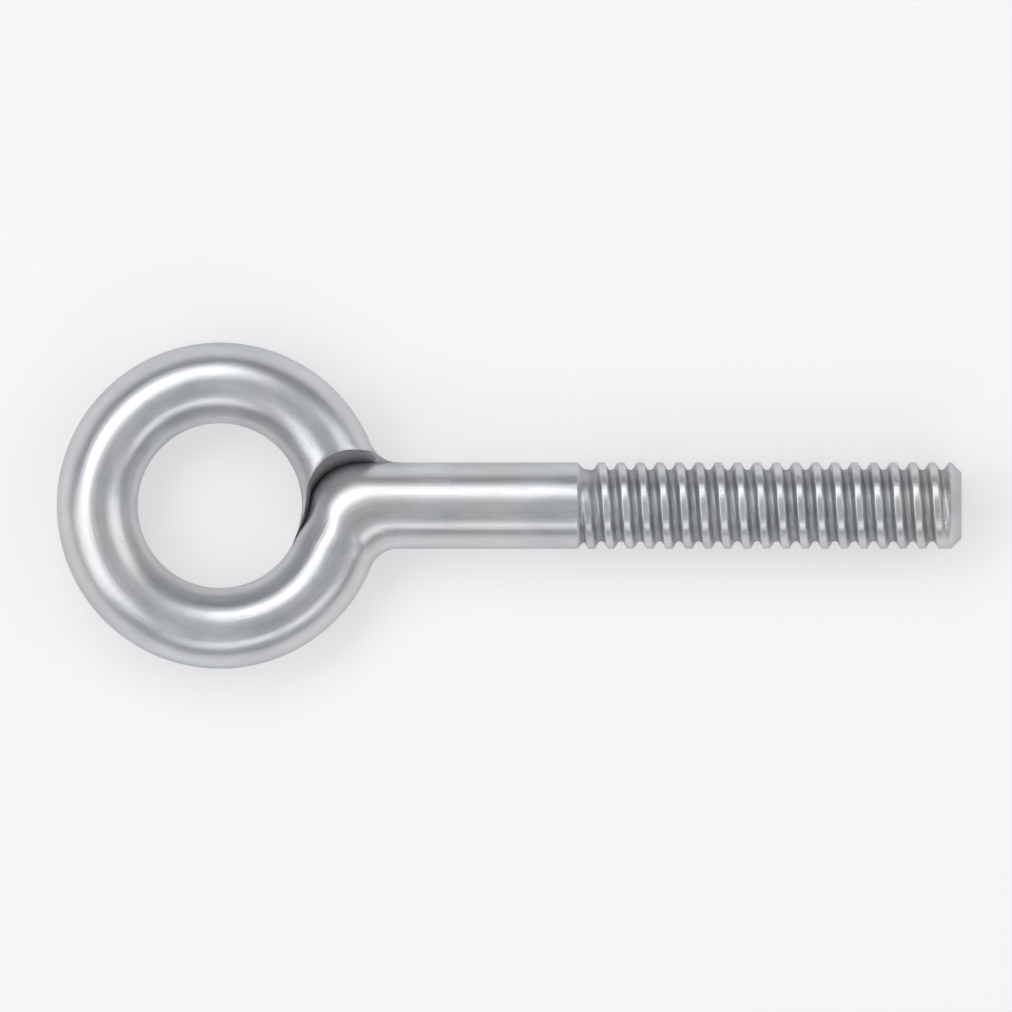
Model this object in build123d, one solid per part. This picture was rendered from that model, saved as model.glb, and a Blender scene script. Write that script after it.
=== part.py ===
"""Bent-wire screw eye, modelled in one piece.

The eye lies flat: its centre is the origin, its axis is Z and the shank runs along +X.
The neck and the seam are laid out on rays from the centre of the neck's fillet, so that
the bend, the slit and the bevelled end of the wire all follow the same line. The shank has
the major diameter of its fine thread, and the thread itself is left to the scene.
"""

from build123d import *
from math import atan2, cos, degrees, hypot, radians, sin, sqrt
import os

# Overall sizes, millimetres
overall_length = 49.2
shank_diameter = 4.7
eye_outer_diameter = 17.75
eye_hole_diameter = 8.95
tip_chamfer = 0.55

# Neck, where the shank bends into the eye
neck_fillet = 1.58
neck_swell = 0.74
# Share of the swell that the back of the neck has at even steps of the bend
swell_shares = [0, 0.08, 0.24, 0.49, 0.76, 0.93, 1, 0.92, 0.68, 0.17, -0.1, -0.1, 0]

# Seam, where the cut end of the wire lies against the neck
seam_slit = 0.06
bevel_width = 0.8
# Share of the bevel's full width at the same steps, from one step before the bend
bevel_shares = [0.5, 0.6, 0.7, 0.79, 0.9, 0.98, 0.97, 0.84, 0.66, 0.48, 0.35, 0.27, 0.12, 0.05]
bevel_step = 0.06
web_half_height = 0.25
web_allowance = 0.1
web_overlap = 0.03
feather_half_height = 0.12
# Steps of the bend where the web's blank ends, inside the neck and inside the eye
web_neck_step = 3
web_eye_step = 4

# Derived sizes
shank_radius = shank_diameter / 2
eye_outer_radius = eye_outer_diameter / 2
eye_hole_radius = eye_hole_diameter / 2
ring_radius = (eye_outer_radius + eye_hole_radius) / 2
ring_width = eye_outer_radius - eye_hole_radius
tip_x = overall_length - eye_outer_radius

# The fillet touches the shank's side and the eye's rim
fillet_y = shank_radius + neck_fillet
fillet_x = sqrt((eye_outer_radius + neck_fillet) ** 2 - fillet_y**2)
rim_angle = degrees(atan2(fillet_y, fillet_x))
bend_turn = 90 - rim_angle

# Cuts run this far past the wire
clear = 2 * shank_diameter
# The eye's last stretch runs between these angles, before the slit trims it
end_angle = 3 - rim_angle
sector_angle = 45
steps = len(swell_shares) - 1
up = Vector(0, 0, 1)


def swell(step):
    """How far the back of the neck stands out past an even taper, at a step of the bend."""
    return neck_swell * swell_shares[step] if 0 <= step <= steps else 0


def neck_width(step):
    """Width of the wire across the bend, from the fillet to the back of the neck."""
    share = min(max(step / steps, 0), 1)
    return shank_diameter + (ring_width - shank_diameter) * share + swell(step)


def seam_distance(step):
    """Distance along a ray to the far side of the slit."""
    return neck_fillet + neck_width(step) + seam_slit


def on_ray(step, distance, height=0):
    """Point on the ray at a step of the bend, at a distance from the fillet's centre."""
    angle = radians(bend_turn * step / steps)
    return Vector(fillet_x - distance * sin(angle), distance * cos(angle) - fillet_y, height)


def oval(middle, across, half_width):
    """Upright section of the wire, as high as the shank, whose first axis points across."""
    plane = Plane(middle, x_dir=across, z_dir=across.cross(up))
    starts = range(0, 360, 90)
    return Wire([Edge.make_ellipse(half_width, shank_radius, plane, a, a + 90) for a in starts])


def bend_section(step):
    """Section of the bend on one of the fillet's rays."""
    width = neck_width(step)
    across = on_ray(step, 1) - on_ray(step, 0)
    return oval(on_ray(step, neck_fillet + width / 2), across, width / 2)


def eye_arc(start, end):
    """A stretch of the eye, from a start angle anticlockwise to an end angle."""
    outward = Vector(cos(radians(start)), sin(radians(start)), 0)
    section = oval(outward * ring_radius, -outward, ring_width / 2)
    return Solid.revolve(Face(section), end - start, Axis.Z)


def neck():
    """The bend, lofted through the rays' sections from the eye to the shank."""
    return Solid.make_loft([bend_section(step) for step in range(steps, -1, -1)])


def shank():
    """Shank in quarters that meet those of the neck, with a chamfered tip."""
    plane = Plane(Vector(fillet_x, 0, 0), x_dir=(0, 1, 0), z_dir=(1, 0, 0))
    starts = range(0, 360, 90)
    section = Wire([Edge.make_circle(shank_radius, plane, a, a + 90) for a in starts])
    rod = Solid.extrude(Face(section), Vector(tip_x - fillet_x, 0, 0))
    return rod.chamfer(tip_chamfer, None, rod.edges().group_by(Axis.X)[-1])


def neck_side():
    """Everything on the neck's side of the slit, to be cleared from the wire's end."""
    line = Spline([on_ray(step, seam_distance(step)) for step in range(-1, steps + 2)])
    sides = Polyline(line @ 1, on_ray(steps / 2, 0), line @ 0)
    return extrude(make_face([line, sides]), clear, both=True)


def eye_height(point):
    """Height of the eye's surface above its middle plane over a point of the plan."""
    across = 2 * (hypot(point.X, point.Y) - ring_radius) / ring_width
    return shank_radius * sqrt(max(1 - across**2, 0))


def bevel_cutter():
    """What the bevel takes off above the middle plane: it falls from the eye to the slit."""
    high = []
    low = []
    for step, share in enumerate(bevel_shares, start=-1):
        near = seam_distance(step)
        far = near + bevel_width * share
        top = max(eye_height(on_ray(step, far)) - bevel_step, web_half_height)
        fall = (top - feather_half_height) / (far - near)
        high.append(on_ray(step, far, top))
        low.append(on_ray(step, near - seam_slit, feather_half_height - fall * seam_slit))
    face = Face.make_surface_from_curves(Spline(high).edge(), Spline(low).edge())
    return Solid.extrude(face, up * clear)


def web():
    """Thin web pressed into the corner between the eye's end and the neck."""
    radius = neck_fillet + web_overlap
    centre = Vector(fillet_x, fillet_y, 0)
    angles = [180 + rim_angle, 225 + rim_angle / 2, 270]
    arc = ThreePointArc([centre + Vector(radius, 0, 0).rotate(Axis.Z, angle) for angle in angles])
    in_neck = on_ray(web_neck_step, neck_fillet + neck_width(web_neck_step) / 2)
    in_eye = on_ray(web_eye_step, seam_distance(web_eye_step) + bevel_width)
    back = Polyline(arc @ 1, in_neck, in_eye, arc @ 0)
    return extrude(make_face([arc, back]), web_half_height + web_allowance, both=True)


def eye_end():
    """The last stretch of the eye, bevelled to a feather edge that lies along the neck."""
    cutter = bevel_cutter()
    body = eye_arc(end_angle, sector_angle) + web()
    return body - neck_side() - cutter - mirror(cutter, Plane.XY)


def sewn(pieces):
    """One solid from pieces that share end sections, with the shared ends left out."""
    faces = [face for piece in pieces for face in piece.faces()]
    ends = [face for face in faces if face.geom_type == GeomType.PLANE]
    kept = [face for face in faces if sum(end.center() == face.center() for end in ends) < 2]
    return Solid(Shell(kept))


def screw_eye():
    """The whole screw eye, from its cut end round the eye and the neck to its tip."""
    return sewn([eye_end(), eye_arc(sector_angle, 360 - rim_angle), neck(), shank()])


os.makedirs("parts", exist_ok=True)
export_step(screw_eye(), "parts/screw_eye.step")
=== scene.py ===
"""A bent-wire screw eye in bright zinc plate, lying on a pale table.

The visible wire is one closed skin, laid out as the real one is made: a rod with a rolled
thread at one end, bent at its neck into an eye, whose cut end is bevelled to lie along the
back of the neck. Lengths are in metres, in the frame of the solid model: the eye's centre
is the origin, its axis is Z and the shank runs along +X.
"""

import logging
import math
from collections.abc import Mapping, Sequence
from dataclasses import dataclass, field, replace
from enum import Enum

import bmesh
import bpy
import numpy as np
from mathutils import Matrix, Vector

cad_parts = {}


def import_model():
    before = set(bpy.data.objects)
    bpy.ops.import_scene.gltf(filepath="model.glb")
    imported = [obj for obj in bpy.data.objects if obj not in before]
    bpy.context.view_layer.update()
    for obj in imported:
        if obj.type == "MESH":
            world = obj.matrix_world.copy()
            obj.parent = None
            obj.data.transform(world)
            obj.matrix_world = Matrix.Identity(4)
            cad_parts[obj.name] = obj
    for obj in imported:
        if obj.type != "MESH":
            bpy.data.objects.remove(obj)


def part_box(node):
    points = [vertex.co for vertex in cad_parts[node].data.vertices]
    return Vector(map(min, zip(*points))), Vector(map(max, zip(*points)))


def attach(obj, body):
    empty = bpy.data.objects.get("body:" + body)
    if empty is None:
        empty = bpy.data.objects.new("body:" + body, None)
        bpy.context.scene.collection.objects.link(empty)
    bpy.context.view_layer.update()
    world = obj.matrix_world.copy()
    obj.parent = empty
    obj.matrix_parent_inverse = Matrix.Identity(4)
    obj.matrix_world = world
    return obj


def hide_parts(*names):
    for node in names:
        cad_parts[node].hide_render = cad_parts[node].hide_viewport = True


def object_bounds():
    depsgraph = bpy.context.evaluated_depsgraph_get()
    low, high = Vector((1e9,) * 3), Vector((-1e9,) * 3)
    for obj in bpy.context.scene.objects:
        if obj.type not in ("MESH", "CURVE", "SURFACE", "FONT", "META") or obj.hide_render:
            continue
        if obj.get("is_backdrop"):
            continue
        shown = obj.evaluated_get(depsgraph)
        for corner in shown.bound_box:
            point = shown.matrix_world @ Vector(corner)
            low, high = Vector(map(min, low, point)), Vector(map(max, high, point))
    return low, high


MM = 0.001
NODE = "screw_eye"
MERGE_GAP = 1e-5 * MM
NOISE_MIDDLE = 0.5
LOG = logging.getLogger("screw_eye")

Colour = tuple[float, float, float]
Line = tuple[np.ndarray, np.ndarray]
Values = np.ndarray | float
Settings = Mapping[str, object]


class Signal:
    """One output of a material's node, which takes part in sums as a number would."""

    def __init__(self, recipe: "Recipe", socket: bpy.types.NodeSocket | None) -> None:
        """Wraps a socket of a recipe's node tree."""
        self.recipe = recipe
        self.socket = socket

    def __add__(self, other: "Operand") -> "Signal":
        """This value plus another."""
        return self.recipe.maths("ADD", self, other)

    __radd__ = __add__

    def __mul__(self, other: "Operand") -> "Signal":
        """This value times another."""
        return self.recipe.maths("MULTIPLY", self, other)

    __rmul__ = __mul__

    def __sub__(self, other: "Operand") -> "Signal":
        """This value less another."""
        return self.recipe.maths("SUBTRACT", self, other)

    def __rsub__(self, other: "Operand") -> "Signal":
        """Another value less this one."""
        return self.recipe.maths("SUBTRACT", other, self)

    def __abs__(self) -> "Signal":
        """This value without its sign."""
        return self.recipe.maths("ABSOLUTE", self)

    def between(self, low: float, high: float) -> "Signal":
        """A soft step that is 0 up to one value and 1 from another.

        Args:
            low: the value where the step is 0.
            high: the value where it is 1, which may be below low.

        Returns:
            The step as a value from 0 to 1.
        """
        settings = {"interpolation_type": "SMOOTHSTEP"}
        inputs = {"Value": self, "From Min": low, "From Max": high, "To Min": 0.0, "To Max": 1.0}
        return self.recipe.node("ShaderNodeMapRange", settings, inputs)


Operand = Signal | float


@dataclass(frozen=True)
class Mark:
    """A mark on a surface: the soft noise that lays it out, and what it does there.

    The noise is stretched, has cells of a scale and some finer layers, each weaker by a
    falloff, and sets in between two of its values. The rest says how far the mark tints,
    darkens, roughens and raises the surface.
    """

    stretch: tuple[float, float, float] = (1.0, 1.0, 1.0)
    scale: float = 1.0
    detail: float = 2.0
    falloff: float = 0.5
    sets_in: tuple[float, float] = (0.0, 1.0)
    tint: float = 0.0
    shade: float = 0.0
    rough: float = 0.0
    height: float = 0.0


class Recipe:
    """Nodes of one material or world, written as sums and calls."""

    def __init__(self, tree: bpy.types.NodeTree) -> None:
        """Empties a node tree and writes into it."""
        self.tree = tree
        tree.nodes.clear()

    def node(self, kind: str, settings: Settings, inputs: Mapping, output: str | int = 0) -> Signal:
        """Adds one node.

        Args:
            kind: the node's type.
            settings: properties to set before its sockets.
            inputs: values, or signals to link, by the socket's name or number.
            output: name or number of the output that is returned.

        Returns:
            The chosen output.
        """
        made = self.tree.nodes.new(kind)
        for name, value in settings.items():
            setattr(made, name, value)
        for name, value in inputs.items():
            if isinstance(value, Signal):
                self.tree.links.new(value.socket, made.inputs[name])
            else:
                made.inputs[name].default_value = value
        return Signal(self, made.outputs[output] if made.outputs else None)

    def maths(self, operation: str, left: Operand, right: Operand = 0.0) -> Signal:
        """One step of arithmetic on values."""
        return self.node("ShaderNodeMath", {"operation": operation}, {0: left, 1: right})

    def stretched(self, vector: Signal, factors: Sequence[float]) -> Signal:
        """A vector with each of its parts multiplied by a factor."""
        inputs = {0: vector, 1: tuple(factors)}
        return self.node("ShaderNodeVectorMath", {"operation": "MULTIPLY"}, inputs)

    def part(self, vector: Signal, name: str) -> Signal:
        """One part, X, Y or Z, of a vector."""
        return self.node("ShaderNodeSeparateXYZ", {}, {0: vector}, name)

    def noise(self, place: Signal, mark: Mark) -> Signal:
        """The soft noise of a mark.

        Args:
            place: where it is read.
            mark: the mark, which says how the noise is laid out.

        Returns:
            The noise as a value from about 0 to 1.
        """
        inputs = {
            "Vector": self.stretched(place, mark.stretch),
            "Scale": mark.scale,
            "Detail": mark.detail,
            "Roughness": mark.falloff,
        }
        return self.node("ShaderNodeTexNoise", {}, inputs, "Fac")

    def mixed(self, amount: Operand, first: Signal | Colour, second: Signal | Colour) -> Signal:
        """A blend of two colours.

        Args:
            amount: how much of the second colour it has, from 0 to 1.
            first: the colour at 0.
            second: the colour at 1.

        Returns:
            The blend as a colour.
        """
        colours = [c if isinstance(c, Signal) else (*c, 1.0) for c in (first, second)]
        settings = {"data_type": "RGBA", "clamp_factor": True}
        inputs = {0: amount, 6: colours[0], 7: colours[1]}
        return self.node("ShaderNodeMix", settings, inputs, 2)

    def shaded(self, colour: Signal, level: Signal) -> Signal:
        """A darkened colour.

        Args:
            colour: the colour.
            level: what is left of it, from 0 to 1.

        Returns:
            The product as a colour.
        """
        grey = self.node("ShaderNodeCombineXYZ", {}, {0: level, 1: level, 2: level})
        settings = {"data_type": "RGBA", "blend_type": "MULTIPLY"}
        return self.node("ShaderNodeMix", settings, {0: 1.0, 6: colour, 7: grey}, 2)

    def attribute(self, name: str, output: str = "Fac") -> Signal:
        """A named measure that is stored on the mesh."""
        return self.node("ShaderNodeAttribute", {"attribute_name": name}, {}, output)


class Layer(Enum):
    """Measures that the wire's skin carries for its finish."""

    STRAIGHT = "straight"
    RIDGE = "ridge"
    CUT = "cut"


def weakened(value: Signal, share: float) -> Signal:
    """A value that still has 1 where it was 1, and falls by no more than a share elsewhere."""
    return (1.0 - share) + share * value


@dataclass(frozen=True)
class ZincPlate:
    """Bright zinc plate over drawn wire, thin enough to show the wire's own marks.

    Marks are laid out in millimetres along and across the wire, as if it were straight. The
    shear marks alone are laid out in metres, in the piece's own frame. The colour is also
    darkened in the roots of the thread, which is painted shade.
    """

    name: str = "zinc_plate"
    bright: Colour = (0.74, 0.752, 0.775)
    dull: Colour = (0.58, 0.592, 0.612)
    grazing: Colour = (0.72, 0.73, 0.75)
    warm: Colour = (0.70, 0.685, 0.645)
    sheared: Colour = (0.50, 0.50, 0.505)
    roughness: float = 0.24
    bump: float = 0.5
    bump_height: float = 0.02 * MM
    draw_lines: Mark = Mark((0.1, 7.0, 7.0), 1.0, 4.0, 0.62, shade=0.14, rough=0.08, height=0.6)
    clouds: Mark = Mark((0.5, 1.0, 1.0), 0.6, 3.0, 0.55, (0.25, 0.7), rough=0.06, height=0.35)
    grain: Mark = Mark(scale=9.0, sets_in=(0.55, 0.75), tint=0.25, rough=0.06, height=0.2)
    film: Mark = Mark(scale=0.22, falloff=0.4, sets_in=(0.42, 0.7), tint=0.45)
    scuffs: Mark = Mark(
        (0.2, 2.2, 2.2), detail=1.0, sets_in=(0.014, 0.0), shade=0.06, rough=0.08, height=-0.12
    )
    shear: Mark = Mark((9000.0, 9000.0, 900.0), 1.0, 3.0, 0.6, tint=0.5, rough=0.2, height=1.6)
    # Painted shade: the colour is darkened in the thread's roots, which are also rougher.
    painted_root_shade_and_roughness: Mark = Mark(shade=0.38, rough=0.16)

    def material(self) -> bpy.types.Material:
        """Builds the finish.

        Returns:
            The material, which reads the layers that the wire's skin carries.
        """
        made = bpy.data.materials.new(self.name)
        made.use_nodes = True
        recipe = Recipe(made.node_tree)
        straight = recipe.attribute(Layer.STRAIGHT.value, "Vector")
        place = recipe.node("ShaderNodeTexCoord", {}, {}, "Object")
        ridge = recipe.attribute(Layer.RIDGE.value)
        cut = recipe.attribute(Layer.CUT.value)
        drawn = recipe.noise(straight, self.draw_lines)
        cloud = recipe.noise(straight, self.clouds)
        grain = recipe.noise(straight, self.grain)
        film = recipe.noise(straight, self.film)
        scuff = abs(recipe.noise(straight, self.scuffs) - NOISE_MIDDLE)
        scuff = scuff.between(*self.scuffs.sets_in)
        shear = recipe.noise(place, self.shear)
        colour = recipe.mixed(cloud.between(*self.clouds.sets_in), self.dull, self.bright)
        for value, mark in ((film, self.film), (grain, self.grain)):
            colour = recipe.mixed(value.between(*mark.sets_in) * mark.tint, colour, self.warm)
        colour = recipe.mixed(cut * weakened(shear, self.shear.tint), colour, self.sheared)
        # Drawn lines and scuffs darken the colour as real marks; the ridge layer adds painted shade in
        # the thread's roots.
        level = weakened(drawn, self.draw_lines.shade) * weakened(ridge, self.painted_root_shade_and_roughness.shade)
        level = level * (1.0 - self.scuffs.shade * scuff)
        rough = self.roughness + self.painted_root_shade_and_roughness.rough * (1.0 - ridge) + self.shear.rough * cut
        height = cut * shear * self.shear.height
        marks = (
            (drawn, self.draw_lines), (cloud, self.clouds), (grain, self.grain), (scuff, self.scuffs)
        )
        for value, mark in marks:
            rough = rough + mark.rough * value
            height = height + mark.height * value
        inputs = {"Height": height, "Strength": self.bump, "Distance": self.bump_height}
        normal = recipe.node("ShaderNodeBump", {}, inputs, "Normal")
        inputs = {
            "Base Color": recipe.shaded(colour, level),
            "Metallic": 1.0,
            "Roughness": rough,
            "Specular Tint": (*self.grazing, 1.0),
            "Normal": normal,
        }
        surface = recipe.node("ShaderNodeBsdfPrincipled", {}, inputs)
        recipe.node("ShaderNodeOutputMaterial", {}, {"Surface": surface})
        return made


@dataclass(frozen=True)
class TableTop:
    """Matt white table, seen at full white, which keeps the shadow of what lies on it."""

    name: str = "table_top"
    white: Colour = (0.93, 0.93, 0.93)
    roughness: float = 0.8
    glow: float = 0.99
    glow_share: float = 0.45

    def material(self) -> bpy.types.Material:
        """Builds the finish.

        Returns:
            The material, with its glow shown to the camera and to mirrored and clear rays.
        """
        made = bpy.data.materials.new(self.name)
        made.use_nodes = True
        recipe = Recipe(made.node_tree)
        inputs = {"Base Color": (*self.white, 1.0), "Roughness": self.roughness}
        matt = recipe.node("ShaderNodeBsdfPrincipled", {}, inputs)
        inputs = {"Color": (1.0, 1.0, 1.0, 1.0), "Strength": self.glow}
        bright = recipe.node("ShaderNodeEmission", {}, inputs)
        names = ("Is Camera Ray", "Is Glossy Ray", "Is Transmission Ray")
        camera, glossy, clear = [recipe.node("ShaderNodeLightPath", {}, {}, n) for n in names]
        seen = recipe.maths("MAXIMUM", recipe.maths("MAXIMUM", camera, glossy), clear)
        inputs = {0: seen * self.glow_share, 1: matt, 2: bright}
        surface = recipe.node("ShaderNodeMixShader", {}, inputs)
        recipe.node("ShaderNodeOutputMaterial", {}, {"Surface": surface})
        return made


def clamped(value: float) -> float:
    """A value held between 0 and 1."""
    return min(max(value, 0.0), 1.0)


def eased_min(first: float, second: float, ease: float) -> float:
    """The lower of two values, rounded off where they come within an ease of each other."""
    near = max(ease - abs(first - second), 0.0)
    return min(first, second) - near * near / (4 * ease)


def curve_through(values: Sequence[float], at: Values) -> Values:
    """A smooth curve through evenly spaced values.

    Args:
        values: the values, from the start to the end.
        at: where to read it, from 0 at the start to 1 at the end, held at both ends.

    Returns:
        The curve's values.
    """
    known = np.asarray(values, float)
    last = len(known) - 1
    place = np.clip(at, 0.0, 1.0) * last
    left = np.minimum(place.astype(int), last - 1)
    f = place - left
    a, b, c, d = (known[np.clip(left + k, 0, last)] for k in (-1, 0, 1, 2))
    bend = 2 * a - 5 * b + 4 * c - d + (3 * b - a - 3 * c + d) * f
    return b + 0.5 * f * (c - a + f * bend)


@dataclass(frozen=True)
class WireSizes:
    """Sizes of the wire. The first three come from the solid model.

    The swell at the back of the neck and the bevel's width are shares at even steps of the
    bend. The feather edge along the slit is thinner where the bevel starts low.
    """

    eye_outer_radius: float
    tip_x: float
    shank_radius: float
    hole_radius: float = 4.475 * MM
    neck_fillet: float = 1.58 * MM
    neck_swell: float = 0.74 * MM
    swell_shares: tuple[float, ...] = (
        0, 0.08, 0.24, 0.49, 0.76, 0.93, 1, 0.92, 0.68, 0.17, -0.1, -0.1, 0
    )
    end_pressed_in: float = 0.006 * MM
    bevel_width: float = 0.8 * MM
    bevel_shares: tuple[float, ...] = (
        0.5, 0.6, 0.7, 0.79, 0.9, 0.98, 0.97, 0.84, 0.66, 0.48, 0.35, 0.27, 0.12, 0.05
    )
    feather: float = 0.12 * MM
    feather_most: float = 0.8
    web_half_height: float = 0.25 * MM
    web_lead: float = math.radians(3)

    @classmethod
    def of_solid(cls, node: str) -> "WireSizes":
        """Reads the outer sizes from the solid model.

        Args:
            node: the solid's node.

        Returns:
            The sizes, no larger than the solid on any side.
        """
        low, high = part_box(node)
        eye_outer_radius = min(-low.x, -low.y, high.y)
        return cls(eye_outer_radius, tip_x=high.x, shank_radius=min(high.z, -low.z))

    @property
    def ring_radius(self) -> float:
        """Radius of the eye's centre line."""
        return (self.eye_outer_radius + self.hole_radius) / 2

    @property
    def ring_width(self) -> float:
        """Width of the wire in the eye's plane."""
        return self.eye_outer_radius - self.hole_radius

    @property
    def fillet_centre(self) -> tuple[float, float]:
        """Centre of the fillet above the shank; the neck's is its mirror image below."""
        y = self.shank_radius + self.neck_fillet
        return math.sqrt((self.eye_outer_radius + self.neck_fillet) ** 2 - y**2), y

    @property
    def rim_angle(self) -> float:
        """Angle about the eye's centre where a fillet meets the rim."""
        x, y = self.fillet_centre
        return math.atan2(y, x)

    @property
    def bend_turn(self) -> float:
        """Angle that the neck turns through about its fillet."""
        return math.pi / 2 - self.rim_angle

    def neck_width(self, share: Values) -> Values:
        """Width of the wire across the bend.

        Args:
            share: how far round the bend, from 0 at the shank to 1 at the eye.

        Returns:
            The width from the fillet to the back of the neck.
        """
        held = np.clip(share, 0.0, 1.0)
        even = 2 * self.shank_radius + (self.ring_width - 2 * self.shank_radius) * held
        return even + self.neck_swell * curve_through(self.swell_shares, held)

    def on_ray(self, share: Values, distance: Values) -> tuple[Values, Values]:
        """Points on rays from the neck's fillet centre.

        Args:
            share: how far round the bend each ray is.
            distance: how far along its ray each point is.

        Returns:
            The points' places along X and along Y.
        """
        turn = share * self.bend_turn
        x, y = self.fillet_centre
        return x - distance * np.sin(turn), distance * np.cos(turn) - y


@dataclass(frozen=True)
class ThreadForm:
    """Rolled thread with broad crests and a shallow, rounded root.

    The first crest's place is counted from the thread's start, on the +Y side. The outline
    has so many steps to each of its parts, and the spare turns fall together at the ends.
    """

    shank_radius: float
    tip_x: float
    length: float = 20.9 * MM
    pitch: float = 25.4 / 24 * MM
    depth: float = 0.4 * MM
    flank: float = math.radians(30)
    first_crest: float = 0.255 * MM
    crest_land: float = 0.336 * MM
    crest_round: float = 0.05 * MM
    root_round: float = 0.2 * MM
    land_steps: int = 3
    crest_steps: int = 2
    flank_steps: int = 3
    root_steps: int = 4
    ridge_lead: float = 0.22 * MM
    ridge_run_in: float = 0.53 * MM
    groove_run_out: float = 0.45 * MM
    shoulder_ease: float = 0.12 * MM
    spare_turns: int = 3
    tip_chamfer: float = 0.55 * MM
    tip_edge: float = 0.04 * MM

    @property
    def start_x(self) -> float:
        """Where the thread begins, at the end of the plain shank."""
        return self.tip_x - self.length

    @property
    def end_x(self) -> float:
        """Where the thread ends, at the base of the tip's chamfer."""
        return self.tip_x - self.tip_chamfer

    def half_turn(self) -> list[tuple[float, float]]:
        """The outline from the middle of a crest to the middle of the next root.

        Returns:
            Points as a distance along the axis and a radius.
        """
        turn = math.pi / 2 - self.flank
        half_crest = self.crest_land / 2
        half_base = half_crest + math.tan(self.flank) * self.depth
        root = self.shank_radius - self.depth
        crest_x = half_crest - self.crest_round * math.tan(turn / 2)
        root_x = half_base + self.root_round * math.tan(turn / 2)
        corner = []
        for a in np.linspace(0, turn, self.crest_steps + 1):
            drop = self.crest_round * (1 - math.cos(a))
            corner.append((crest_x + self.crest_round * math.sin(a), self.shank_radius - drop))
        hollow = []
        for a in np.linspace(turn, 0, self.root_steps + 1):
            rise = self.root_round * (1 - math.cos(a))
            hollow.append((root_x - self.root_round * math.sin(a), root + rise))
        land = np.linspace((0.0, self.shank_radius), corner[0], self.land_steps + 1)[:-1]
        flank = np.linspace(corner[-1], hollow[0], self.flank_steps + 1)[1:-1]
        points = [*land, *corner, *flank, *hollow, (self.pitch / 2, root)]
        return [(float(x), float(radius)) for x, radius in points]

    def turn_outline(self) -> list[tuple[float, float]]:
        """The outline of a whole turn, from one root to just before the next."""
        half = self.half_turn()
        return [(-x, r) for x, r in reversed(half)] + half[1:-1]

    def formed(self, crest_x: float, offset: float, radius: float) -> float:
        """A radius as rolled: the first ridge rises from a clear groove, the last groove fades.

        Args:
            crest_x: place of the middle of the nearest crest.
            offset: how far the point lies from there along the axis.
            radius: radius of the full outline there.

        Returns:
            The radius, which stays above a 45 degree shoulder at either end.
        """
        x = crest_x + offset
        root_x = crest_x + math.copysign(self.pitch / 2, offset)
        full = self.shank_radius - radius
        ridge = clamped((crest_x - self.start_x - self.ridge_lead) / self.ridge_run_in)
        groove = clamped((self.end_x - root_x) / self.groove_run_out)
        depth = (self.depth + (full - self.depth) * ridge) * groove
        shoulder = min(x - self.start_x, self.end_x - x)
        return self.shank_radius - max(eased_min(depth, shoulder, self.shoulder_ease), 0.0)


@dataclass
class Skin:
    """The closed skin of the wire, gathered point by point."""

    points: list[tuple[float, float, float]] = field(default_factory=list)
    straight: list[tuple[float, float, float]] = field(default_factory=list)
    ridge: list[float] = field(default_factory=list)
    cut: list[float] = field(default_factory=list)
    faces: list[tuple[int, ...]] = field(default_factory=list)

    def point(self, place: Sequence[float], straight: Sequence[float], ridge: float, cut: float) -> int:
        """Adds a point.

        Args:
            place: where it is.
            straight: where it would be if the wire were pulled straight.
            ridge: 1 on the wire's surface and on crests, 0 deep in the thread, where shade is painted.
            cut: 1 where the wire was cut, 0 where it was drawn.

        Returns:
            The point's number.
        """
        self.points.append(tuple(float(c) for c in place))
        self.straight.append(tuple(float(c) / MM for c in straight))
        self.ridge.append(float(ridge))
        self.cut.append(float(cut))
        return len(self.points) - 1

    def face(self, corners: Sequence[int]) -> None:
        """Adds a face, unless its corners fall together to fewer than three.

        Args:
            corners: numbers of its points, in order.
        """
        kept = tuple(dict.fromkeys(corners))
        if len(kept) > 2:
            self.faces.append(kept)

    def band(self, first: Sequence[int], second: Sequence[int]) -> None:
        """Joins two rings by a band of faces.

        Args:
            first: numbers of one ring's points.
            second: as many of the other's.
        """
        around = len(first)
        for k in range(around):
            n = (k + 1) % around
            self.face((first[k], second[k], second[n], first[n]))

    def mesh(self, name: str, sharp_angle: float) -> bpy.types.Mesh:
        """Makes the mesh, with its layers.

        Args:
            name: the mesh's name.
            sharp_angle: edges that turn by more than this stay sharp.

        Returns:
            The mesh, smooth apart from its sharp edges.
        """
        made = bpy.data.meshes.new(name)
        made.from_pydata(self.points, [], self.faces)
        layers = (
            (Layer.STRAIGHT, "FLOAT_VECTOR", "vector", self.straight),
            (Layer.RIDGE, "FLOAT", "value", self.ridge),
            (Layer.CUT, "FLOAT", "value", self.cut),
        )
        for layer, kind, prop, values in layers:
            stored = made.attributes.new(layer.value, kind, "POINT")
            stored.data.foreach_set(prop, np.asarray(values, np.float32).ravel())
        sheet = bmesh.new()
        sheet.from_mesh(made)
        bmesh.ops.remove_doubles(sheet, verts=sheet.verts, dist=MERGE_GAP)
        bmesh.ops.recalc_face_normals(sheet, faces=sheet.faces)
        sheet.to_mesh(made)
        sheet.free()
        made.shade_smooth()
        made.set_sharp_from_angle(angle=sharp_angle)
        made.validate()
        return made


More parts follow.
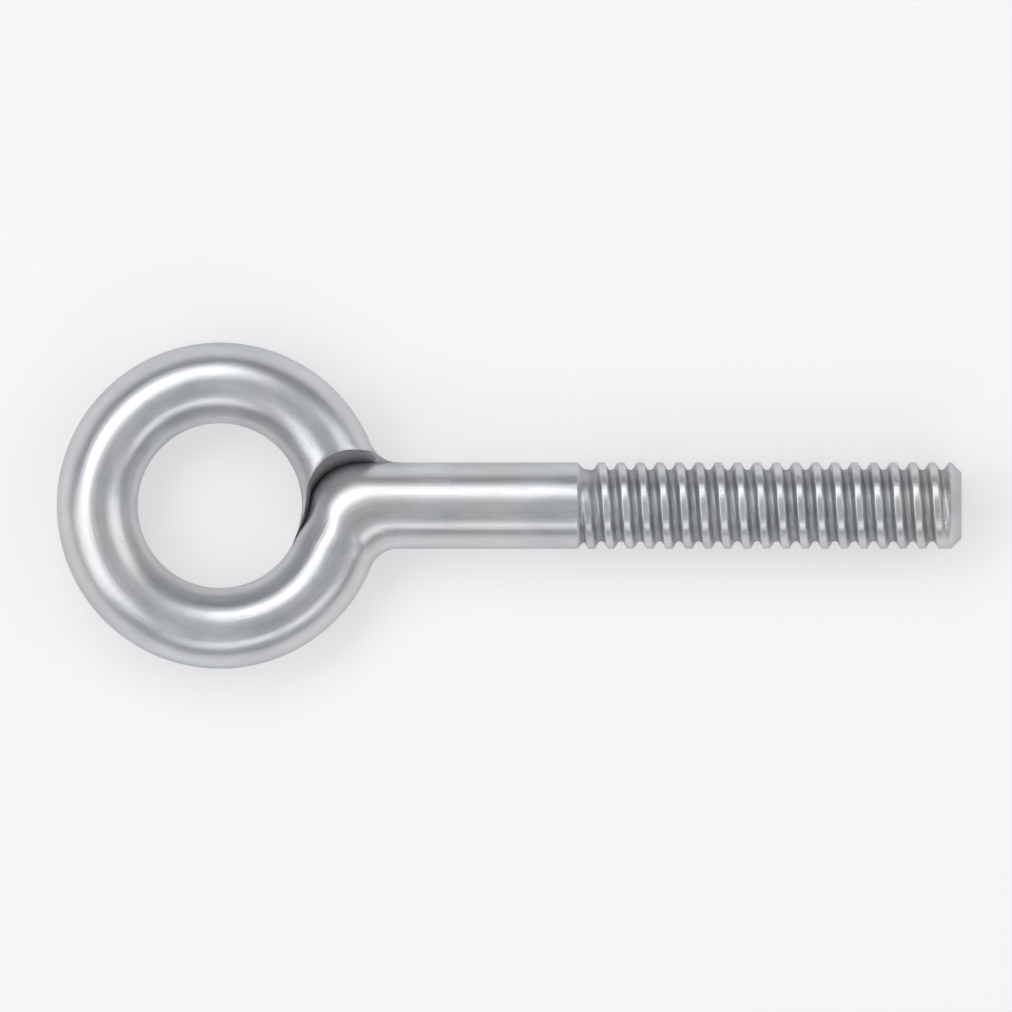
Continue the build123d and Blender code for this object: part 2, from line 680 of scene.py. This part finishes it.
@dataclass
class ScrewEye:
    """The whole wire, skinned from the tip of its thread to its cut end.

    A bevel step is a share of the bevel's width, 0 at the slit, and of its rise there. A web
    line is how far a line beside the rim lies in the web, and its share of the web's height.
    """

    sizes: WireSizes
    thread: ThreadForm
    around: int = 128
    shank_rows: int = 10
    neck_rows: int = 44
    eye_rows: int = 112
    end_rows: int = 22
    end_angle: float = math.radians(60)
    sharp_angle: float = math.radians(38)
    chamfer_share: float = 0.3
    chamfer_cut: float = 0.3
    edge_cut: float = 0.6
    face_rings: tuple[float, ...] = (1.0, 0.75, 0.5, 0.25)
    bevel_steps: tuple[tuple[float, float], ...] = (
        (1.05, 1.0), (1.0, 0.99), (0.975, 0.95), (0.94, 0.89), (0.86, 0.81),
        (0.7, 0.66), (0.52, 0.49), (0.34, 0.32), (0.17, 0.16), (0.0, 0.0),
    )
    web_lines: tuple[tuple[float, float], ...] = ((1.0, 0.0), (1.0, 0.6), (0.97, 1.0))
    skin: Skin = field(default_factory=Skin)

    @property
    def angles(self) -> np.ndarray:
        """Angles round the wire, from the eye's outer side over the top."""
        return np.arange(self.around) * 2 * math.pi / self.around

    def rod_ring(self, x: float, radius: float, cut: float = 0.0) -> list[int]:
        """A ring of points round the shank's axis.

        Args:
            x: its place along the axis.
            radius: its radius.
            cut: how far it belongs to a cut face.

        Returns:
            The points' numbers.
        """
        ring = []
        for a in self.angles:
            flat = (-radius * math.cos(a), radius * math.sin(a))
            ring.append(self.skin.point((x, *flat), (x, *flat), 1.0, cut))
        return ring

    def tip(self, rim: Sequence[int]) -> None:
        """Skins the chamfer and the end face.

        Args:
            rim: the ring at the end of the thread.
        """
        form = self.thread
        flat = form.shank_radius - form.tip_chamfer
        partway = self.chamfer_share * form.tip_chamfer
        rings = [
            (form.end_x + partway, form.shank_radius - partway, self.chamfer_cut),
            (form.tip_x - form.tip_edge, flat + form.tip_edge, self.edge_cut),
        ]
        for share in self.face_rings:
            rings.append((form.tip_x, share * (flat - form.tip_edge / 2), 1.0))
        outer = rim
        for x, radius, cut in rings:
            inner = self.rod_ring(x, radius, cut)
            self.skin.band(inner, outer)
            outer = inner
        middle = (form.tip_x, 0.0, 0.0)
        centre = self.skin.point(middle, middle, 1.0, 1.0)
        for k in range(self.around):
            self.skin.face((centre, outer[k], outer[(k + 1) % self.around]))

    def threaded_end(self) -> list[int]:
        """Skins the thread along its helix.

        Returns:
            The ring where the thread meets the plain shank.
        """
        form = self.thread
        start = self.rod_ring(form.start_x, form.shank_radius)
        rim = self.rod_ring(form.end_x, form.shank_radius)
        outline = form.turn_outline()
        turns = math.ceil(form.length / form.pitch) + form.spare_turns
        first = form.start_x + form.first_crest - form.pitch / 2
        rows = [(first + k * form.pitch, x, r) for k in range(turns) for x, r in outline]
        columns = []
        for k, a in enumerate(self.angles):
            column = []
            lead = form.pitch * a / (2 * math.pi)
            for crest_x, offset, radius in rows:
                x = crest_x - lead + offset
                if x <= form.start_x:
                    column.append(start[k])
                elif x >= form.end_x:
                    column.append(rim[k])
                else:
                    held = form.formed(crest_x - lead, offset, radius)
                    column.append(self.thread_point(x, a, held))
            columns.append(column)
        shift = len(outline)
        columns.append([start[0]] * shift + columns[0][:-shift])
        for left, right in zip(columns, columns[1:]):
            for k in range(len(rows) - 1):
                self.skin.face((left[k], left[k + 1], right[k + 1], right[k]))
        self.tip(rim)
        return start

    def thread_point(self, x: float, angle: float, radius: float) -> int:
        """Adds a point of the thread.

        Args:
            x: its place along the axis.
            angle: its angle round the axis.
            radius: its radius.

        Returns:
            The point's number.
        """
        place = (x, -radius * math.cos(angle), radius * math.sin(angle))
        ridge = 1 - (self.thread.shank_radius - radius) / self.thread.depth
        return self.skin.point(place, place, ridge, 0.0)

    def plain_shank(self, start: Sequence[int]) -> list[int]:
        """Skins the plain shank, from the thread to the neck.

        Args:
            start: the ring where the thread begins.

        Returns:
            The ring where the neck begins.
        """
        start_x = self.thread.start_x
        span = start_x - self.sizes.fillet_centre[0]
        ring = start
        for k in range(1, self.shank_rows + 1):
            after = self.rod_ring(start_x - span * k / self.shank_rows, self.sizes.shank_radius)
            self.skin.band(ring, after)
            ring = after
        return ring

    def neck(self, ring: Sequence[int]) -> tuple[list[int], float]:
        """Skins the bend, on rays from the fillet's centre.

        Args:
            ring: the ring where the neck begins.

        Returns:
            The ring where the eye begins, and its place along the straight wire.
        """
        sizes = self.sizes
        along = sizes.fillet_centre[0]
        for k in range(1, self.neck_rows + 1):
            share = k / self.neck_rows
            width = float(sizes.neck_width(share))
            along -= (sizes.neck_fillet + width / 2) * sizes.bend_turn / self.neck_rows
            after = []
            for a in self.angles:
                distance = sizes.neck_fillet + width / 2 * (1 - math.cos(a))
                x, y = sizes.on_ray(share, distance)
                z = sizes.shank_radius * math.sin(a)
                straight = (along, -width / 2 * math.cos(a), z)
                after.append(self.skin.point((x, y, z), straight, 1.0, 0.0))
            self.skin.band(ring, after)
            ring = after
        return ring, along

    def eye_ring(self, turn: float, along: float) -> list[int]:
        """A ring of points round the wire of the eye.

        Args:
            turn: its angle about the eye's centre.
            along: its place along the straight wire.

        Returns:
            The points' numbers.
        """
        sizes = self.sizes
        ring = []
        for a in self.angles:
            out = sizes.ring_width / 2 * math.cos(a)
            z = sizes.shank_radius * math.sin(a)
            reach = sizes.ring_radius + out
            place = (reach * math.cos(turn), reach * math.sin(turn), z)
            ring.append(self.skin.point(place, (along, -out, z), 1.0, 0.0))
        return ring

    def eye(self, ring: Sequence[int], along: float) -> tuple[list[int], float]:
        """Skins the eye, from the neck round to its last stretch.

        Args:
            ring: the ring where the eye begins.
            along: its place along the straight wire.

        Returns:
            The ring where the last stretch begins, and its place along the straight wire.
        """
        first = -self.sizes.rim_angle
        sweep = 2 * math.pi + first - self.end_angle
        for k in range(1, self.eye_rows + 1):
            turned = sweep * k / self.eye_rows
            after = self.eye_ring(first - turned, along - self.sizes.ring_radius * turned)
            self.skin.band(ring, after)
            ring = after
        return ring, along - self.sizes.ring_radius * sweep

    def cut_end(self, ring: Sequence[int], along: float) -> None:
        """Skins the last stretch of the eye, its bevels and the face along the slit.

        Args:
            ring: the ring where the stretch begins.
            along: its place along the straight wire.
        """
        end = CutEnd(self.sizes, self.end_angle)
        paths = [end.path(a, self.web_line(k)) for k, a in enumerate(self.angles)]
        for k in range(1, self.end_rows + 1):
            after = []
            for a, path in zip(self.angles, paths):
                goal = path.at_bevel(self.bevel_steps[0][0])
                turn = self.end_angle + (goal - self.end_angle) * k / self.end_rows
                after.append(self.end_point(path, a, turn, path.height(turn), along, 0.0))
            self.skin.band(ring, after)
            ring = after
        for step, rise in self.bevel_steps[1:]:
            after = []
            for a, path in zip(self.angles, paths):
                turn = path.at_bevel(step)
                height = path.low + (path.high - path.low) * rise
                after.append(self.end_point(path, a, turn, height, along, 1.0))
            self.skin.band(ring, after)
            ring = after
        half = self.around // 2
        for k in range(half):
            mirrored = (self.around - k) % self.around
            self.skin.face((ring[k], ring[k + 1], ring[self.around - k - 1], ring[mirrored]))

    def web_line(self, number: int) -> tuple[float, float]:
        """Share and height of the web on a line, by the line's number round the wire."""
        near = min(number, self.around - number)
        return self.web_lines[near] if near < len(self.web_lines) else (0.0, 0.0)

    def end_point(
        self, path: "EndPath", angle: float, turn: float, height: float, along: float, cut: float
    ) -> int:
        """A point on one of the lines that run along the eye's last stretch.

        Args:
            path: the line.
            angle: its angle round the wire.
            turn: the angle about the eye's centre.
            height: how far above or below the middle plane, without its sign.
            along: where the last stretch begins on the straight wire.
            cut: how far the point belongs to the cut.

        Returns:
            The point's number.
        """
        reach = path.reach(turn)
        z = height if angle < math.pi else -height
        place = (reach * math.cos(turn), reach * math.sin(turn), z)
        passed = along - self.sizes.ring_radius * (self.end_angle - turn)
        return self.skin.point(place, (passed, self.sizes.ring_radius - reach, z), 1.0, cut)

    def build(self) -> bpy.types.Object:
        """Builds the whole wire.

        Returns:
            The wire as one object, in its finish.
        """
        ring = self.plain_shank(self.threaded_end())
        ring, along = self.neck(ring)
        ring, along = self.eye(ring, along)
        self.cut_end(ring, along)
        mesh = self.skin.mesh("screw_eye_wire", self.sharp_angle)
        mesh.materials.append(ZincPlate().material())
        wire = bpy.data.objects.new("screw_eye_wire", mesh)
        bpy.context.scene.collection.objects.link(wire)
        return wire


@dataclass(frozen=True)
class EndPath:
    """One line along the last stretch of the eye, from its full section to the slit."""

    sizes: WireSizes
    base_reach: float
    full_height: float
    web_share: float
    web_height: float
    bevel_turn: float = 0.0
    slit_turn: float = 0.0

    def in_web(self, turn: Values) -> Values:
        """How far a line has passed into the web beside the neck, from 0 to 1."""
        lead = self.sizes.web_lead
        return self.web_share * np.clip((self.sizes.rim_angle + lead - turn) / (2 * lead), 0, 1)

    def reach(self, turn: Values) -> Values:
        """Distance from the eye's centre, which grows along the fillet in the web.

        Args:
            turn: the angle about the eye's centre.

        Returns:
            The distance.
        """
        x, y = self.sizes.fillet_centre
        held = np.minimum(turn, self.sizes.rim_angle)
        towards = x * np.cos(held) + y * np.sin(held)
        gap = x * x + y * y - self.sizes.neck_fillet**2
        fillet = towards - np.sqrt(np.maximum(towards**2 - gap, 0.0))
        return self.base_reach + self.web_share * (fillet - self.sizes.eye_outer_radius)

    def height(self, turn: float) -> float:
        """Height above the middle plane before the bevel."""
        share = float(self.in_web(turn))
        return self.full_height + (self.web_height - self.full_height) * share

    @property
    def high(self) -> float:
        """Height where the bevel begins."""
        return self.height(self.bevel_turn)

    @property
    def low(self) -> float:
        """Height of the edge at the slit."""
        return min(self.sizes.feather, self.sizes.feather_most * self.high)

    def at_bevel(self, step: float) -> float:
        """Angle about the eye's centre, by a share of the bevel that is 0 at the slit."""
        return self.slit_turn + (self.bevel_turn - self.slit_turn) * step


@dataclass
class CutEnd:
    """Lines of the slit and of the bevel's upper edge, in plan, about the eye's centre.

    They are met by the lines of the eye's last stretch between the first and last turn.
    """

    sizes: WireSizes
    first_turn: float
    last_turn: float = math.radians(-24)
    line_points: int = 600
    turn_points: int = 2400
    slit: Line = field(init=False)
    bevel: Line = field(init=False)

    def __post_init__(self) -> None:
        """Lays both lines out on rays from the centre of the neck's fillet."""
        sizes = self.sizes
        steps = len(sizes.swell_shares) - 1
        share = np.linspace(-2 / steps, 1 + 1 / steps, self.line_points)
        near = sizes.neck_fillet + sizes.neck_width(share) - sizes.end_pressed_in
        widths = curve_through(sizes.bevel_shares, (share * steps + 1) / (steps + 1))
        self.slit = self.polar(share, near)
        self.bevel = self.polar(share, near + sizes.bevel_width * widths)

    def polar(self, share: Values, distance: Values) -> Line:
        """A line about the eye's centre.

        Args:
            share: how far round the bend each of its points is.
            distance: how far from the centre of the neck's fillet.

        Returns:
            The points' distances from the eye's centre, rising, and their angles.
        """
        x, y = self.sizes.on_ray(share, distance)
        reach = np.maximum.accumulate(np.hypot(x, y)[::-1])
        return reach, np.arctan2(y, x)[::-1]

    def crossing(self, path: EndPath, line: Line) -> float:
        """Angle where a line along the eye first meets the slit or the bevel's edge.

        Args:
            path: the line along the eye.
            line: the slit or the edge.

        Returns:
            The angle about the eye's centre.
        """
        turns = np.linspace(self.first_turn, self.last_turn, self.turn_points)
        gaps = turns - np.interp(path.reach(turns), *line)
        first = int(np.argmax(gaps <= 0))
        before, after = gaps[first - 1], gaps[first]
        passed = before / (before - after)
        return float(turns[first - 1] + (turns[first] - turns[first - 1]) * passed)

    def path(self, angle: float, web: tuple[float, float]) -> EndPath:
        """The line at an angle round the wire, with its two crossings.

        Args:
            angle: the angle, from the eye's outer side over the top.
            web: how far the line is in the web, and its share of the web's height.

        Returns:
            The line, down to the slit.
        """
        sizes = self.sizes
        share, level = web
        plain = EndPath(
            sizes,
            base_reach=sizes.ring_radius + sizes.ring_width / 2 * math.cos(angle),
            full_height=sizes.shank_radius * abs(math.sin(angle)),
            web_share=share,
            web_height=sizes.web_half_height * level,
        )
        bevel = self.crossing(plain, self.bevel)
        slit = min(self.crossing(plain, self.slit), bevel)
        return replace(plain, bevel_turn=bevel, slit_turn=slit)


@dataclass(frozen=True)
class Lamp:
    """A soft lamp that faces the middle of the object."""

    name: str
    direction: tuple[float, float, float]
    distance: float
    width: float
    height: float
    radiance: float

    def build(self, aim: Vector) -> None:
        """Places the lamp.

        Args:
            aim: the point that it faces.
        """
        light = bpy.data.lights.new(self.name, "AREA")
        light.shape = "RECTANGLE"
        light.size = self.width
        light.size_y = self.height
        light.energy = self.radiance * math.pi * self.width * self.height
        lamp = bpy.data.objects.new(self.name, light)
        towards = Vector(self.direction).normalized()
        lamp.location = aim + towards * self.distance
        lamp.rotation_euler = towards.to_track_quat("Z", "Y").to_euler()
        bpy.context.scene.collection.objects.link(lamp)


@dataclass(frozen=True)
class Studio:
    """Pale table, soft lamps and a surround with dark screens between skyline and overhead."""

    table_radius: float = 0.7
    table_points: int = 96
    overhead: Colour = (0.46, 0.47, 0.49)
    screens: Colour = (0.20, 0.21, 0.23)
    skyline: Colour = (0.93, 0.93, 0.93)
    screens_rise: tuple[float, float] = (0.03, 0.14)
    overhead_rise: tuple[float, float] = (0.35, 0.95)
    lamps: tuple[Lamp, ...] = (
        Lamp("window", (-0.45, 0.62, 1.0), 0.5, 0.6, 0.24, 2.1),
        Lamp("strip", (0.35, -0.95, 0.75), 0.5, 0.7, 0.11, 2.0),
        Lamp("side", (-1.0, -0.3, 0.9), 0.5, 0.4, 0.4, 1.3),
        Lamp("end", (1.0, 0.25, 0.8), 0.5, 0.36, 0.36, 1.2),
    )

    def build(self, low_z: float, aim: Vector) -> None:
        """Builds the table, the lamps and the surround.

        Args:
            low_z: height of the table, which the object lies on.
            aim: the middle of the object.
        """
        self.table(low_z)
        for lamp in self.lamps:
            lamp.build(aim)
        self.surround()

    def table(self, low_z: float) -> None:
        """A round table top under the object.

        Args:
            low_z: its height.
        """
        rim = []
        for k in range(self.table_points):
            turn = 2 * math.pi * k / self.table_points
            rim.append((self.table_radius * math.cos(turn), self.table_radius * math.sin(turn), low_z))
        mesh = bpy.data.meshes.new("table")
        mesh.from_pydata(rim, [], [tuple(range(self.table_points))])
        mesh.materials.append(TableTop().material())
        table = bpy.data.objects.new("table", mesh)
        bpy.context.scene.collection.objects.link(table)
        table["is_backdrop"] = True

    def surround(self) -> None:
        """Lights the scene from all round."""
        world = bpy.data.worlds.new("surround")
        world.use_nodes = True
        bpy.context.scene.world = world
        recipe = Recipe(world.node_tree)
        direction = recipe.node("ShaderNodeTexCoord", {}, {}, "Generated")
        height = recipe.part(direction, "Z")
        colour = recipe.mixed(height.between(*self.screens_rise), self.skyline, self.screens)
        colour = recipe.mixed(height.between(*self.overhead_rise), colour, self.overhead)
        glow = recipe.node("ShaderNodeBackground", {}, {"Color": colour, "Strength": 1.0})
        recipe.node("ShaderNodeOutputWorld", {}, {"Surface": glow})


@dataclass(frozen=True)
class DrawingView:
    """The drawing's view: straight down, with no perspective, to the drawing's own scale."""

    image_pixels: float = 1012.0
    eye_centre_pixel: tuple[float, float] = (219.91, 505.6)
    tip_pixel: float = 961.5
    height: float = 0.25
    seen_from: float = 0.01
    seen_to: float = 5.0

    def build(self, tip_x: float) -> None:
        """Places the camera.

        Args:
            tip_x: how far the tip is from the eye's centre.
        """
        pixel = tip_x / (self.tip_pixel - self.eye_centre_pixel[0])
        middle = self.image_pixels / 2
        lens = bpy.data.cameras.new("drawing_view")
        lens.type = "ORTHO"
        lens.ortho_scale = self.image_pixels * pixel
        lens.clip_start = self.seen_from
        lens.clip_end = self.seen_to
        camera = bpy.data.objects.new("drawing_view", lens)
        x, y = self.eye_centre_pixel
        camera.location = ((middle - x) * pixel, (y - middle) * pixel, self.height)
        bpy.context.scene.collection.objects.link(camera)
        bpy.context.scene.camera = camera


def main() -> None:
    """Builds the screw eye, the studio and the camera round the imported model."""
    logging.basicConfig(level=logging.INFO, format="%(name)s: %(message)s")
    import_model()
    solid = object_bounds()
    sizes = WireSizes.of_solid(NODE)
    wire = ScrewEye(sizes, ThreadForm(sizes.shank_radius, sizes.tip_x)).build()
    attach(wire, "root")
    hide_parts(NODE)
    LOG.info("%s: %d points, %d faces", wire.name, len(wire.data.vertices), len(wire.data.polygons))
    Studio().build(solid[0].z, (solid[0] + solid[1]) / 2)
    LOG.info("table, lamps and surround in place")
    DrawingView().build(sizes.tip_x)
    bpy.context.scene.view_settings.view_transform = "Standard"


if __name__ == "__main__":
    main()
